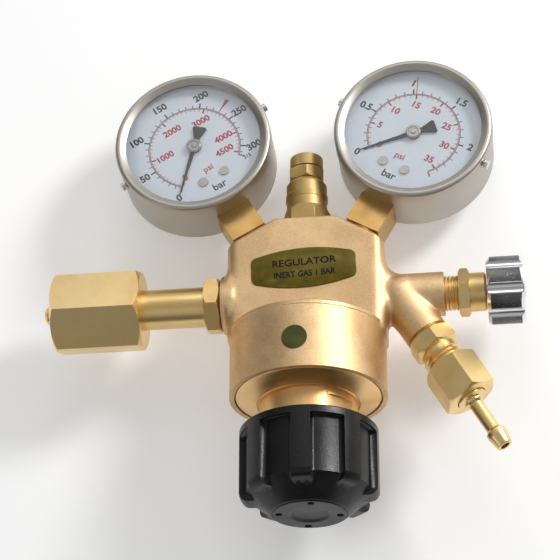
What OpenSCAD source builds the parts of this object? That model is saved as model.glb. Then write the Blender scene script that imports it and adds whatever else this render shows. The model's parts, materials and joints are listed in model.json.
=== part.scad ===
// Two-gauge, two-port pressure regulator for a gas cylinder, lying on its back.
//
// Working axes, before the part is laid down: X runs along the inlet and the outlet valve, Y runs
// along the adjusting screw (the knob points to -Y, the gauges stand at +Y), and Z is the side that
// the dials face. Every port lies in the plane z = 0. laid_down() then tips the part back about the
// inlet axis until the gauge backs and the spring housing rest on one floor, and puts the origin on
// the axis of the nipple's nose, in its sealing plane just behind the tip.

/* [Body] */
// Width of the cast block
body_w = 67; // [60:0.5:82]
// Height of the block's top face above the inlet axis
body_top = 35.2; // [33:0.1:44]
// Width of the flat that carries the relief valve
body_flat = 25.6; // [23:0.1:34]
// Block in front of the port plane
body_front = 11.5; // [10.5:0.1:14]
// Block behind the port plane
body_back = 13; // [11.5:0.1:18]
// Diameter of the round spring housing
housing_d = 66; // [60:0.5:80]
// Wall of the spring housing at its mouth
housing_wall = 2.6; // [2:0.1:4]
// Inlet axis to the housing's upper edge
housing_top = 16; // [15:0.1:20]
// Height of the spring housing along the screw axis
housing_h = 29.4; // [26:0.1:36]
// Reach of the inlet boss beyond the block
inlet_boss_reach = 2.5; // [1.5:0.1:6]
// Diameter of the inlet boss
inlet_boss_d = 24.6; // [23:0.1:29]
// Reach of the valve boss beyond the block
valve_boss_reach = 24.5; // [20:0.5:32]
// Diameter of the valve boss
valve_boss_d = 18.8; // [18:0.1:24]
// Diameter of the outlet boss
outlet_boss_d = 18.5; // [17:0.1:19.2]
// Length of the outlet boss from the inlet axis
outlet_boss_reach = 21.8; // [21:0.1:26]
// Angle of the outlet below the inlet axis
outlet_angle = 60; // [52:1:66]

/* [Gauges] */
// Outside diameter of a gauge
gauge_d = 68.4; // [60:0.2:84]
// Depth of a gauge from back to bezel
gauge_depth = 27; // [24:0.5:33]
// Height of the bezel's face above the port plane
gauge_front = 18.5; // [17:0.1:21]
// Lean of each gauge stem from the screw axis
gauge_lean = 30; // [26:1:34]
// Diameter of the clear window
window_d = 59; // [50:0.5:60]
// Wrench flats of the gauge stem
stem_flats = 15.5; // [14:0.5:18]
// Stem that shows between a gauge and the block
stem_show = 15.2; // [13:0.1:20]
// Sheet thickness of the gauge case
case_wall = 1; // [0.8:0.1:1.4]
// Height of the bezel ring
bezel_h = 7.5; // [6:0.1:9]
// Gear ratio from the sector to the pointer
sector_ratio = 8; // [7:0.5:9]
// Pitch radius of the pointer pinion
pinion_r = 1.8; // [1.6:0.05:1.9]
// Radius of the Bourdon tube's centre line
bourdon_r = 25.5; // [24:0.1:27]
// Sweep of the pointer
pointer_sweep = 270; // [240:5:280]
// Length of the pointer from its hub
pointer_len = 24.6; // [20:0.1:26]

/* [Inlet] */
// Wrench size of the inlet nut
nut_flats = 32; // [30:0.5:38]
// Length of the inlet nut
nut_len = 38; // [34:0.5:46]
// Block end of the nipple's visible stem, from the inlet boss
nipple_collar_len = 7.4; // [6:0.1:10]
// Stem that shows between the collar and the nut
nipple_show = 27; // [24:0.5:34]
// Diameter of the nipple stem
nipple_d = 17.2; // [15:0.1:18]
// Wrench size of the nipple's hexagon
nipple_flats = 22; // [21:0.5:25]
// Thread bore of the nut
nut_bore_d = 21; // [19.8:0.1:23]
// Flange of the nipple that the nut pulls on
nipple_flange_d = 19.8; // [19:0.1:19.8]
// Diameter of the sealing nose
nose_d = 7.6; // [6.6:0.1:9]
// How far the nose stands out of the nut
nose_proud = 4.7; // [3:0.1:8]
// Gas passage of the nipple
nipple_bore_d = 5; // [4:0.1:6]

/* [Outlet valve] */
// Wrench size of the valve body
valve_flats = 18; // [17:0.5:21]
// Thread that shows between boss and hexagon
valve_thread_show = 6; // [4:0.1:9]
// Thickness of the hexagon
valve_hex_h = 4.8; // [4:0.1:7]
// Diameter of the valve's round neck
valve_neck_d = 16.5; // [15:0.1:17]
// Length of the valve's round neck
valve_neck_h = 6.9; // [5:0.1:9]
// Diameter of the valve thread
valve_thread_d = 14; // [13:0.1:14.4]
// Diameter of the spindle
spindle_d = 5.8; // [5:0.1:7]
// Diameter of the valve knob
valve_knob_d = 29; // [25:0.1:35]
// Length of the valve knob
valve_knob_h = 15.6; // [13:0.1:19]
// Lift of the valve from shut to open
valve_lift = 3; // [2:0.5:3.5]
// Finger grooves around the valve knob
valve_grooves = 8; // [6:1:10]

/* [Outlet] */
// Wrench size of the hose adapter
adapter_flats = 18; // [17:0.5:20]
// Length of the adapter's hexagon
adapter_hex_h = 7.8; // [7:0.1:11]
// Thread diameter of the adapter
adapter_thread_d = 15.6; // [14.6:0.1:16]
// Wrench size of the union nut
union_flats = 21; // [20.5:0.5:26]
// Thread that shows between the adapter and the union nut
union_thread_show = 7.8; // [3:0.1:10]
// Length of the union nut
union_len = 17.6; // [16:0.2:27]
// Bore at the union nut's outer end
union_mouth_d = 13.2; // [12.2:0.1:15]
// Diameter of the hose tail's shank
tail_d = 5.9; // [5.2:0.1:7]
// Diameter of the hose tail's barb
barb_d = 8.5; // [7.4:0.1:10]
// Length of the hose tail past the nut
tail_len = 25.5; // [22:0.5:32]
// Bore of the hose tail
tail_bore_d = 4; // [3:0.1:4.2]

/* [Adjusting knob] */
// Diameter over the knob's ribs
knob_d = 57.4; // [52:0.2:68]
// Length of the knob
knob_h = 36.4; // [34:0.2:44]
// Ribs around the knob
knob_ribs = 8; // [6:1:10]
// Width of a rib
rib_w = 8; // [6:0.2:10]
// Depth of the panels between ribs
panel_depth = 2.7; // [1.5:0.1:3]
// Thickness of the rim flange
knob_rim_h = 2.8; // [2:0.1:4]
// Diameter of the end disc
cap_d = 30.4; // [26:0.2:34]
// Travel of the adjusting screw
screw_travel = 7.5; // [5:0.5:8]
// Thread pitch of the adjusting screw
screw_pitch = 1.5; // [1:0.25:2]
// Diameter of the adjusting screw
screw_d = 10; // [8:0.5:12]

/* [Bonnet and diaphragm] */
// Diameter of the bonnet's neck
neck_d = 40.6; // [36:0.2:42]
// Length of the bonnet's neck
neck_h = 24; // [22:0.5:28]
// Rise of the bonnet's conical face
cone_rise = 3; // [1:0.1:5]
// Thickness of the diaphragm
diaphragm_t = 1.2; // [0.8:0.1:2]
// Depth of the diaphragm below the housing's mouth
diaphragm_depth = 18.4; // [16:0.1:21]
// Wire of the adjusting spring
main_wire = 3.2; // [2.4:0.1:3.6]
// Outside diameter of the adjusting spring
main_spring_d = 27; // [22:0.5:29]
// Turns of the adjusting spring
main_turns = 5; // [4:1:7]
// Opening stroke of the seat valve
poppet_lift = 0.8; // [0.4:0.1:1]

/* [Relief valve] */
// Wrench size of the relief valve
relief_flats = 18; // [17:0.5:20]
// Diameter of the relief valve's barrel
relief_d = 17.6; // [16:0.1:18]
// Wrench size of the locking ring
lock_flats = 14.6; // [13.6:0.1:16]
// Diameter of the relief cap
relief_cap_d = 14.4; // [12:0.1:15]
// Lift of the relief disc
relief_lift = 2; // [1:0.5:2.5]

/* [Labels] */
// Length of the name plate
plate_w = 44.6; // [38:0.2:48]
// Height of the name plate at its middle
plate_h = 18.8; // [16:0.2:19]
// Height of the name plate at its ends
plate_end_h = 11.4; // [8:0.2:14]
// Thickness of the name plate
plate_t = 0.5; // [0.3:0.1:1]
// Diameter of the round label
dot_d = 10.6; // [8:0.2:14]

/* [Hidden] */
$fn = 96;

// clearances
slide_gap = 0.05;      // a shaft that turns or slides in its bore
loose_gap = 0.3;       // pieces that pass each other
open_gap = 0.6;        // pieces that must never meet

// body
side_x = body_w / 2;
flat_x = body_flat / 2;
port_x = (flat_x + side_x) / 2;
port_y = body_top - tan(gauge_lean) * (side_x - flat_x) / 2;
edge_cut = 4.5;
mouth_y = -housing_top - housing_h;
housing_r = housing_d / 2;
housing_bore_r = housing_r - housing_wall;
diaphragm_y = mouth_y + diaphragm_depth;
chamber_r = housing_bore_r - 5.4;
chamber_h = 5.2 + poppet_lift;
drill_r = 1.5;
drill_x = 12;
seat_bore_r = 7;
seat_bore_top = 5;
inlet_end = -(side_x + inlet_boss_reach);
valve_end = side_x + valve_boss_reach;
outlet_x = side_x + 5.7;
outlet_root_r = outlet_boss_d / 2 + 1.2;
outlet_root_len = 14;

// gauges
gauge_r = gauge_d / 2;
stem_len = gauge_r + stem_show;
gauge_x = port_x + stem_len * sin(gauge_lean);
gauge_y = port_y + stem_len * cos(gauge_lean);
gauge_back = gauge_front - gauge_depth;
bezel_z = gauge_front - bezel_h;
bezel_wall = 1;
case_r = gauge_r - 0.3;
rim_r = gauge_r - bezel_wall - slide_gap;
case_rim_z = gauge_front - 4.4;
glass_t = 1.6;
seal_t = 1.2;
dial_z = case_rim_z - 2.4;
dial_t = 0.6;
plate_low = 1;
plate_high = dial_z - 2.2;
frame_t = 1;
sector_r = pinion_r * sector_ratio;
sector_y = -(pinion_r + sector_r);
sector_swing = pointer_sweep / sector_ratio;
arbor_r = 1;
pointer_z = dial_z + dial_t + 0.7;
zero_angle = 180 + (pointer_sweep - 180) / 2 + 1;
screw_pitch_x = 5.2;
screw_line_y = -17.6;
dial_screw_r = 2.1;
bezel_screw_r = 1.9;
bezel_screw_gap = 0.6;
plug_y = 14;
plug_r = 4;
port_thread_r = 6.4;
port_thread_len = 11;
thin_drill_r = 1.2;

// inlet
collar_end = inlet_end - nipple_collar_len;
nut_inner = collar_end - nipple_show;
nut_outer = nut_inner - nut_len;
nose_tip = nut_outer - nose_proud;
seal_plane = nose_tip + 3;
nut_shoulder = 9;
flange_len = 4;
spigot_r = 6.5;
spigot_len = 12;
gasket_t = 0.8;

// outlet valve
valve_hex_x = valve_end + valve_thread_show;
valve_neck_x = valve_hex_x + valve_hex_h;
valve_top_x = valve_neck_x + valve_neck_h;
valve_knob_x = valve_top_x + loose_gap;
valve_chamber_r = 4.5;
valve_plug_x = valve_end - 10;
valve_seat_x = valve_plug_x - valve_lift - 9;
valve_pitch = 1;

// outlet
adapter_x = outlet_boss_reach + 1.2;
adapter_end = adapter_x + adapter_hex_h;
union_x = adapter_end + union_thread_show;
union_end = union_x + union_len;
tail_end = union_end + tail_len;
tail_shoulder_r = union_mouth_d / 2 - loose_gap;
barb_h = 7.5;

// bonnet, spring and knob
skirt_y = diaphragm_y - diaphragm_t - 1;
neck_r = neck_d / 2;
neck_foot = mouth_y - cone_rise;
neck_end = neck_foot - neck_h;
bonnet_end_wall = 6;
spring_room_r = neck_r - 4.4;
button_t = 3;
plate_disc_t = 2;
spring_low = skirt_y + 1 - plate_disc_t;
knob_top = neck_foot - 12;
knob_end = knob_top - knob_h;
knob_r = knob_d / 2;
panel_r = knob_r - panel_depth;
knob_room_r = neck_r + 1.6;
screw_r = screw_d / 2;
button_y = neck_foot - 9.6;
rib_phase = -1;
cap_holes = 4;
cap_hole_r = 1.4;
cap_turn = 8.6;

// relief valve
relief_hex_h = 9.3;
relief_top = body_top + relief_hex_h + 12.8;
lock_h = 5.7;
cap_y = relief_top + 0.7 + lock_h + 0.2;
relief_cap_h = 5.8;
relief_bore_r = 5.2;
relief_seat_y = body_top + 4;
relief_disc_t = 3;
relief_stem_y = relief_seat_y + relief_disc_t + 5 - relief_lift;

function hex_r(flats) = flats / 2 / cos(30);
function polar(r, a) = [r * cos(a), r * sin(a)];

// ---- shared shapes ----

// turns local Z onto +X or +Y
module on_x() { rotate([0, 90, 0]) children(); }
module on_y() { rotate([-90, 0, 0]) children(); }

// rod of radius r from a to b along local Z
module rod(r, a, b) { translate([0, 0, a]) cylinder(r = r, h = b - a); }

// ring from a to b along local Z
module ring(r_out, r_in, a, b) {
    difference() {
        rod(r_out, a, b);
        rod(r_in, a - 1, b + 1);
    }
}

module revolve(outline) { rotate_extrude() polygon(outline); }

// hexagon from a to b with its corners turned off at both ends
module hexagon(flats, a, b, turn = 0, low_cut = 1, high_cut = 1) {
    r = hex_r(flats);
    cut = r - flats / 2;
    intersection() {
        rotate([0, 0, turn]) translate([0, 0, a]) cylinder(r = r, h = b - a, $fn = 6);
        revolve([
            [0, a], [r - low_cut * cut, a], [r + 0.01, a + low_cut * cut * 0.7 + 0.01],
            [r + 0.01, b - high_cut * cut * 0.7 - 0.01], [r - high_cut * cut, b], [0, b]
        ]);
    }
}

// square bar along local -Y, centred on the port plane
module stem_bar(w, a, b) { translate([-w / 2, -b, -w / 2]) cube([w, b - a, w]); }

// round wire coil along local Z from a to b, with both ends flattened to a closed turn
module coil(r, wire, a, b, turns) {
    steps = 14;
    sides = 8;
    count = turns * steps;
    low = a + wire / 2;
    rise = (b - a - wire) / turns;
    points = [
        for (i = [0 : count]) for (j = [0 : sides - 1])
            let (t = i * 360 / steps, s = j * 360 / sides, rr = r - wire / 2 + wire / 2 * cos(s))
            [rr * cos(t), rr * sin(t), low + rise * i / steps + wire / 2 * sin(s)]
    ];
    walls = [
        for (i = [0 : count - 1]) for (j = [0 : sides - 1])
            let (k = (j + 1) % sides)
            [i * sides + j, i * sides + k, (i + 1) * sides + k, (i + 1) * sides + j]
    ];
    ends = [
        [for (j = [sides - 1 : -1 : 0]) j],
        [for (j = [0 : sides - 1]) count * sides + j]
    ];
    polyhedron(points, concat(walls, ends));
}

// tips the part back about the inlet axis and brings the nose's sealing plane to the origin
lean = atan((housing_r + gauge_back) / (gauge_y + case_r + housing_top));
module laid_down() { translate([-seal_plane, 0, 0]) rotate([-lean, 0, 0]) children(); }

// outlet axis as local Z
module on_outlet() { translate([outlet_x, 0, 0]) rotate([0, 0, -outlet_angle]) on_x() children(); }

// gauge frame: side -1 is the inlet gauge, +1 the outlet gauge, local -Y runs down the stem
module gauge_at(side) {
    translate([side * gauge_x, gauge_y, 0]) rotate([0, 0, -side * gauge_lean]) children();
}

// ---- body ----

module block() {
    c = edge_cut;
    low = -housing_top - 4;
    intersection() {
        translate([0, 0, -body_back]) linear_extrude(body_back + body_front)
            polygon([
                [-side_x, low], [side_x, low], [side_x, port_y * 2 - body_top],
                [flat_x, body_top], [-flat_x, body_top], [-side_x, port_y * 2 - body_top]
            ]);
        translate([0, body_top + 1, 0]) rotate([90, 0, 0]) linear_extrude(body_top - low + 2)
            polygon([
                [-side_x, c - body_back], [c - side_x, -body_back], [side_x - c, -body_back],
                [side_x, c - body_back], [side_x, body_front - c], [side_x - c, body_front],
                [c - side_x, body_front], [-side_x, body_front - c]
            ]);
        translate([-side_x - 1, 0, 0]) rotate([90, 0, 90]) linear_extrude(body_w + 2)
            polygon([
                [low, -body_back], [body_top - 2, -body_back], [body_top, 2 - body_back],
                [body_top, body_front - 2], [body_top - 2, body_front], [low, body_front]
            ]);
    }
}

module housing() {
    on_y() revolve([
        [0, mouth_y], [housing_r - 1.2, mouth_y], [housing_r, mouth_y + 1.2],
        [housing_r, -housing_top], [housing_r - 9, 1.5 - housing_top],
        [body_front + 4, 8 - housing_top], [0, 8 - housing_top]
    ]);
}

module gauge_port_cut(side) {
    gauge_at(side) rotate([90, 0, 0]) {
        rod(port_thread_r, stem_len - 2, stem_len + port_thread_len);
        rod(drill_r, stem_len, stem_len + port_thread_len + 9.5);
    }
}

module regulator_body() {
    color("burlywood") difference() {
        union() {
            block();
            housing();
            on_x() rod(inlet_boss_d / 2, inlet_end, 8 - side_x);
            on_x() rod(valve_boss_d / 2, side_x - 8, valve_end);
            on_outlet() rod(outlet_boss_d / 2, 0, outlet_boss_reach);
            on_outlet() cylinder(r1 = outlet_root_r, r2 = outlet_boss_d / 2, h = outlet_root_len);
        }
        on_y() rod(housing_bore_r, mouth_y - 1, diaphragm_y);
        on_y() rod(chamber_r, diaphragm_y - 1, diaphragm_y + chamber_h);
        on_y() rod(seat_bore_r, diaphragm_y, seat_bore_top);
        on_x() rod(spigot_r, inlet_end - 1, inlet_end + spigot_len);
        on_x() rod(nipple_bore_d / 2, inlet_end, -seat_bore_r + 1);
        on_y() rod(spigot_r, body_top - 11, body_top + 1);
        on_y() rod(drill_r, body_top - 15, body_top);
        translate([0, body_top - 13.5, 0]) on_x() rod(drill_r, 0, drill_x);
        translate([drill_x, 0, 0]) on_y() rod(drill_r, diaphragm_y + 1, body_top - 13.5);
        on_x() rod(drill_r, drill_x, valve_seat_x + 1);
        on_x() rod(valve_chamber_r, valve_seat_x, valve_plug_x + 1);
        on_x() rod(valve_thread_d / 2, valve_plug_x, valve_end + 1);
        on_outlet() rod(tail_bore_d / 2, 0, outlet_boss_reach);
        on_outlet() rod(5.5, outlet_boss_reach - 9, outlet_boss_reach + 1);
        gauge_port_cut(-1);
        gauge_port_cut(1);
    }
}

// ---- regulating stage ----

module bonnet() {
    wall_r = housing_bore_r - slide_gap;
    flat_at = neck_r * 0.945;
    color("peru") difference() {
        on_y() revolve([
            [chamber_r, skirt_y], [wall_r, skirt_y], [wall_r, mouth_y + 0.3], [wall_r - 0.3, mouth_y],
            [neck_r, neck_foot], [neck_r, neck_end + 1], [neck_r - 1, neck_end],
            [screw_r + slide_gap, neck_end], [screw_r + slide_gap, neck_end + bonnet_end_wall],
            [spring_room_r, neck_end + bonnet_end_wall], [spring_room_r, neck_foot + 4],
            [chamber_r, neck_foot + 9]
        ]);
        for (a = [47, 227])
            on_y() rotate([0, 0, a - 90]) translate([flat_at, -neck_r, neck_end - 1])
                cube([neck_r, 2 * neck_r, neck_h - 3]);
    }
}

module diaphragm() {
    color("dimgray") on_y() ring(housing_bore_r - 0.2, 3.2, diaphragm_y - diaphragm_t, diaphragm_y);
}

module slip_ring() {
    color("goldenrod") on_y() ring(housing_bore_r - 0.2, chamber_r, skirt_y, skirt_y + 1);
}

module diaphragm_plate() {
    top = diaphragm_y - diaphragm_t;
    color("silver") on_y() {
        rod(main_spring_d / 2 + 1.4, top - plate_disc_t, top);
        rod(main_spring_d / 2 - main_wire - 1, top - plate_disc_t - 2, top - plate_disc_t + 0.5);
        rod(3, top - 1, diaphragm_y + 1.6);
        rod(7, diaphragm_y, diaphragm_y + 1.6);
        rod(1.2, diaphragm_y + 1, seat_y());
    }
}

// face that the seat disc closes on
function seat_y() = diaphragm_y + chamber_h + 7;

module main_spring() {
    color("lightsteelblue") on_y()
        coil(main_spring_d / 2, main_wire, button_y, spring_low, main_turns);
}

module spring_button() {
    color("silver") on_y() difference() {
        union() {
            rod(main_spring_d / 2 + 0.9, button_y - button_t, button_y);
            rod(main_spring_d / 2 - main_wire - 1, button_y - 1, button_y + 2);
        }
        translate([0, 0, button_y - button_t - 0.01]) cylinder(r1 = 2.4, r2 = 0.4, h = 2);
    }
}

module adjusting_screw() {
    tip = button_y - button_t;
    color("gray") on_y() {
        rod(screw_r, knob_end + 6, tip - screw_pitch);
        translate([0, 0, tip - screw_pitch]) cylinder(r1 = screw_r, r2 = 2, h = screw_pitch);
    }
}

module knob() {
    rib_top = knob_top - knob_rim_h;
    rib_low = knob_end + 5.8;
    rib_round = 3.8;
    panel_low = knob_end + 8.8;
    nose_r = cap_d / 2 + 0.7;
    boss_top = neck_end - screw_travel - 2;
    color([0.12, 0.12, 0.13]) on_y() difference() {
        union() {
            revolve([
                [0, knob_end + 0.5], [nose_r, knob_end + 0.5], [panel_r, panel_low],
                [panel_r, rib_top - 0.5], [knob_r, rib_top - 0.5], [knob_r, knob_top - 0.6],
                [knob_r - 0.6, knob_top], [0, knob_top]
            ]);
            intersection() {
                revolve(concat(
                    [[0, rib_low]],
                    [for (a = [-90 : 18 : 0])
                        [knob_r - rib_round, rib_low + rib_round] + polar(rib_round, a)],
                    [[knob_r, rib_top], [0, rib_top]]
                ));
                for (i = [0 : knob_ribs - 1])
                    rotate([0, 0, i * 360 / knob_ribs - 90 + rib_phase])
                        translate([0, -rib_w / 2, knob_end])
                            cube([knob_r + 1, rib_w, knob_h]);
            }
        }
        ring(knob_room_r, 9, boss_top, knob_top + 1);
        rod(9.5, boss_top, knob_top + 1);
        ring(panel_r - 3, 9, knob_end + 9, boss_top + 0.1);
        rod(screw_r, knob_end + 6, knob_top);
        rod(cap_d / 2 + slide_gap, knob_end - 1, knob_end + 3);
    }
}

module knob_cap() {
    r = cap_d / 2;
    color([0.2, 0.2, 0.2]) on_y() difference() {
        revolve([
            [0, knob_end + 1.2], [r * 0.45, knob_end + 0.9], [r * 0.56, knob_end], [r - 0.5, knob_end],
            [r, knob_end + 0.5], [r, knob_end + 3], [0, knob_end + 3]
        ]);
        for (i = [0 : cap_holes - 1])
            rotate([0, 0, i * 360 / cap_holes + cap_turn]) translate([r * 0.82, 0, knob_end - 1])
                cylinder(r = cap_hole_r, h = 3.2);
    }
}

module seat_nozzle() {
    color("khaki") on_y() difference() {
        union() {
            rod(seat_bore_r, diaphragm_y + chamber_h, seat_y() - 1);
            translate([0, 0, seat_y() - 1]) cylinder(r1 = 4, r2 = 3.2, h = 1);
        }
        rod(1.7, diaphragm_y, seat_y() + 1);
    }
}

module seat_disc() {
    color("white") on_y() rod(3, seat_y(), seat_y() + 2);
}

module seat_valve() {
    color("silver") on_y() {
        ring(4.2, 3, seat_y() + 0.6, seat_y() + 2);
        rod(4.2, seat_y() + 2, seat_y() + 3.4);
        rod(1.8, seat_y() + 3, seat_y() + 7);
    }
}

module seat_spring() {
    color("lightsteelblue") on_y() coil(4, 0.8, seat_y() + 3.4, seat_bore_top, 5);
}

// ---- inlet ----

module inlet_nipple() {
    flange_x = nut_inner - nut_shoulder;
    stem_r = nipple_d / 2;
    nose_r = nose_d / 2;
    taper_end = nut_outer + 6;
    color("goldenrod") on_x() difference() {
        union() {
            revolve([
                [0, nose_tip], [nose_r - 1.2, nose_tip], [nose_r, nose_tip + 1.2], [nose_r, taper_end],
                [nipple_flange_d / 2 - 3, flange_x - flange_len - 2],
                [nipple_flange_d / 2, flange_x - flange_len], [nipple_flange_d / 2, flange_x],
                [stem_r, flange_x], [stem_r, collar_end + 0.5], [0, collar_end + 0.5]
            ]);
            hexagon(nipple_flats, collar_end, inlet_end - gasket_t, 18.4);
            rod(spigot_r, inlet_end - gasket_t - 0.5, inlet_end + spigot_len - 1);
        }
        rod(1.6, nose_tip - 1, inlet_end + spigot_len);
        rod(nipple_bore_d / 2, nut_inner, inlet_end + spigot_len);
    }
}

module inlet_filter() {
    color("sienna") on_x() rod(nipple_bore_d / 2, collar_end - 12, collar_end - 2);
}

module inlet_gasket() {
    color("orangered") on_x() ring(nipple_flats / 2 - 0.6, spigot_r, inlet_end - gasket_t, inlet_end);
}

module inlet_nut() {
    shoulder_x = nut_inner - nut_shoulder + loose_gap;
    color("gold") on_x() difference() {
        hexagon(nut_flats, nut_outer, nut_inner, 18.4);
        rod(nut_bore_d / 2, nut_outer - 1, shoulder_x);
        translate([0, 0, nut_outer - 0.01])
            cylinder(r1 = nut_bore_d / 2 + 1.5, r2 = nut_bore_d / 2, h = 1.5);
        rod(nipple_d / 2 + slide_gap, nut_outer, nut_inner + 1);
    }
}

// ---- relief valve ----

module relief_body() {
    hex_top = body_top + relief_hex_h;
    r = relief_d / 2;
    color("darkgoldenrod") on_y() difference() {
        union() {
            rod(spigot_r, body_top - 10, body_top + 0.5);
            intersection() {
                rotate([0, 0, 54.7]) rod_hex(relief_flats, body_top, hex_top + 1);
                revolve([
                    [0, body_top], [hex_r(relief_flats) + 0.1, body_top],
                    [hex_r(relief_flats) + 0.1, hex_top - 4], [r - 1, hex_top + 1], [0, hex_top + 1]
                ]);
            }
            revolve([
                [0, hex_top - 3], [r, hex_top - 3], [r, relief_top - 2], [r - 1.4, relief_top],
                [0, relief_top]
            ]);
        }
        rod(relief_bore_r, relief_seat_y, relief_top + 1);
        rod(2.5, body_top - 11, relief_seat_y + 1);
    }
}

module rod_hex(flats, a, b) { translate([0, 0, a]) cylinder(r = hex_r(flats), h = b - a, $fn = 6); }

module relief_disc() {
    color("dimgray") on_y() {
        rod(relief_bore_r - 0.4, relief_seat_y, relief_seat_y + relief_disc_t);
        rod(2, relief_seat_y + relief_disc_t - 0.5, relief_stem_y);
    }
}

module relief_spring() {
    color("lightsteelblue") on_y()
        coil(relief_bore_r - 0.8, 1.1, relief_seat_y + relief_disc_t, cap_y - 9, 6);
}

module relief_lock_ring() {
    color("goldenrod") on_y() difference() {
        hexagon(lock_flats, relief_top + 0.3, relief_top + 0.3 + lock_h, 35.7);
        rod(relief_bore_r, relief_top, relief_top + lock_h + 1);
    }
}

module relief_cap() {
    r = relief_cap_d / 2;
    color("goldenrod") on_y() difference() {
        union() {
            rod(relief_bore_r, cap_y - 9, cap_y + 1);
            revolve([
                [0, cap_y], [r, cap_y], [r, cap_y + relief_cap_h - 0.5], [r - 0.5, cap_y + relief_cap_h],
                [0, cap_y + relief_cap_h]
            ]);
        }
        rod(1.6, cap_y - 10, cap_y + relief_cap_h + 1);
    }
}

// ---- outlet valve ----

module valve_body() {
    color("darkgoldenrod") on_x() difference() {
        union() {
            rod(valve_thread_d / 2, valve_plug_x, valve_hex_x + 0.5);
            hexagon(valve_flats, valve_hex_x, valve_neck_x, 6);
            revolve([
                [0, valve_neck_x - 0.5], [valve_neck_d / 2, valve_neck_x - 0.5],
                [valve_neck_d / 2, valve_top_x - 0.8], [valve_neck_d / 2 - 0.8, valve_top_x],
                [0, valve_top_x]
            ]);
        }
        rod(spindle_d / 2 + slide_gap, valve_plug_x - 1, valve_top_x + 1);
        rod(spindle_d / 2 + 1.6, valve_neck_x - 1.2, valve_neck_x + 0.8);
    }
}

module spindle_seal() {
    color([0.1, 0.1, 0.1]) on_x()
        ring(spindle_d / 2 + 1.5, spindle_d / 2 + slide_gap, valve_neck_x - 1, valve_neck_x + 0.6);
}

module valve_disc() {
    color("white") on_x() {
        rod(valve_chamber_r - 0.4, valve_seat_x, valve_seat_x + 2.6);
        rod(1.6, valve_seat_x + 2, valve_plug_x - valve_pitch);
    }
}

module valve_spindle() {
    color("silver") on_x() difference() {
        rod(spindle_d / 2, valve_plug_x - valve_pitch, valve_knob_x + valve_knob_h - 3);
        rod(1.2, valve_knob_x + 4, valve_knob_x + valve_knob_h);
    }
}

module valve_knob() {
    r = valve_knob_d / 2;
    far = valve_knob_x + valve_knob_h;
    color("gainsboro") on_x() difference() {
        revolve([
            [0, valve_knob_x], [r - 1.4, valve_knob_x], [r, valve_knob_x + 1.4], [r, far - 1.6],
            [r - 1.6, far], [4.5, far], [4.5, far - 1.5], [0, far - 1.5]
        ]);
        rod(spindle_d / 2, valve_knob_x - 1, far - 3);
        rod(1.2, valve_knob_x, far + 1);
        for (i = [0 : valve_grooves - 1])
            rotate([0, 0, (i + 0.5) * 360 / valve_grooves]) translate([r + 1.9, 0, valve_knob_x - 1])
                cylinder(r = 3.2, h = valve_knob_h + 2);
    }
}

module valve_knob_screw() {
    far = valve_knob_x + valve_knob_h;
    color("silver") on_x() difference() {
        union() {
            rod(3.6, far - 1.5, far + 0.2);
            rod(1.2, far - 8, far - 1);
        }
        translate([-0.4, -4, far - 0.5]) cube([0.8, 8, 1]);
    }
}

// ---- outlet ----

module outlet_adapter() {
    thread_r = adapter_thread_d / 2;
    color("goldenrod") on_outlet() difference() {
        union() {
            rod(5.5, outlet_boss_reach - 8.5, adapter_x + 0.5);
            rod(7.3, outlet_boss_reach, adapter_x + 0.5);
            hexagon(adapter_flats, adapter_x, adapter_end, 57, 1, 1.6);
            rod(thread_r, adapter_end - 0.5, union_x + 8);
        }
        rod(tail_bore_d / 2, outlet_boss_reach - 10, union_x + 9);
        translate([0, 0, union_x + 6.01]) cylinder(r1 = tail_bore_d / 2, r2 = tail_bore_d / 2 + 2, h = 2);
    }
}

module union_nut() {
    inner_r = adapter_thread_d / 2;
    color("gold") on_outlet() difference() {
        hexagon(union_flats, union_x, union_end, 52);
        rod(inner_r, union_x - 1, union_end - 5);
        rod(union_mouth_d / 2, union_x, union_end + 1);
    }
}

module hose_tail() {
    collar_x = union_x + 8;
    shank_x = union_end + 3.4;
    r = tail_d / 2;
    barb_x = tail_end - barb_h;
    color("gold") on_outlet() difference() {
        revolve([
            [0, collar_x], [adapter_thread_d / 2 - 0.2, collar_x],
            [adapter_thread_d / 2 - 0.2, union_end - 5], [tail_shoulder_r, union_end - 5],
            [tail_shoulder_r, union_end + 0.8], [r + 1.3, union_end + 1.4], [r + 1.3, shank_x - 0.8],
            [r, shank_x + 0.6],
            [r, barb_x - 1.2], [barb_d / 2 - 0.3, barb_x], [barb_d / 2, barb_x + 0.3],
            [barb_d / 2, barb_x + 2], [r + 0.35, tail_end - 0.3], [r + 0.05, tail_end], [0, tail_end]
        ]);
        rod(tail_bore_d / 2, collar_x - 1, tail_end + 1);
    }
}

// ---- labels ----

module name_plate() {
    sag = (plate_h - plate_end_h) / 2;
    arc_r = (pow(plate_w / 2, 2) + sag * sag) / 2 / sag;
    color("olive") translate([-0.5, 10.2, body_front]) rotate([0, 0, 2.5])
        linear_extrude(plate_t) intersection() {
            square([plate_w, plate_h + 2], center = true);
            translate([0, plate_h / 2 - arc_r]) circle(r = arc_r);
            translate([0, arc_r - plate_h / 2]) circle(r = arc_r);
        }
}

module round_label() {
    color("darkolivegreen") intersection() {
        on_y() ring(housing_r + 0.15, housing_r, mouth_y, -housing_top);
        translate([-2.3, -housing_top - housing_h * 0.56, 0]) cylinder(r = dot_d / 2, h = housing_r + 1);
    }
}

// ---- gauges ----

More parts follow.
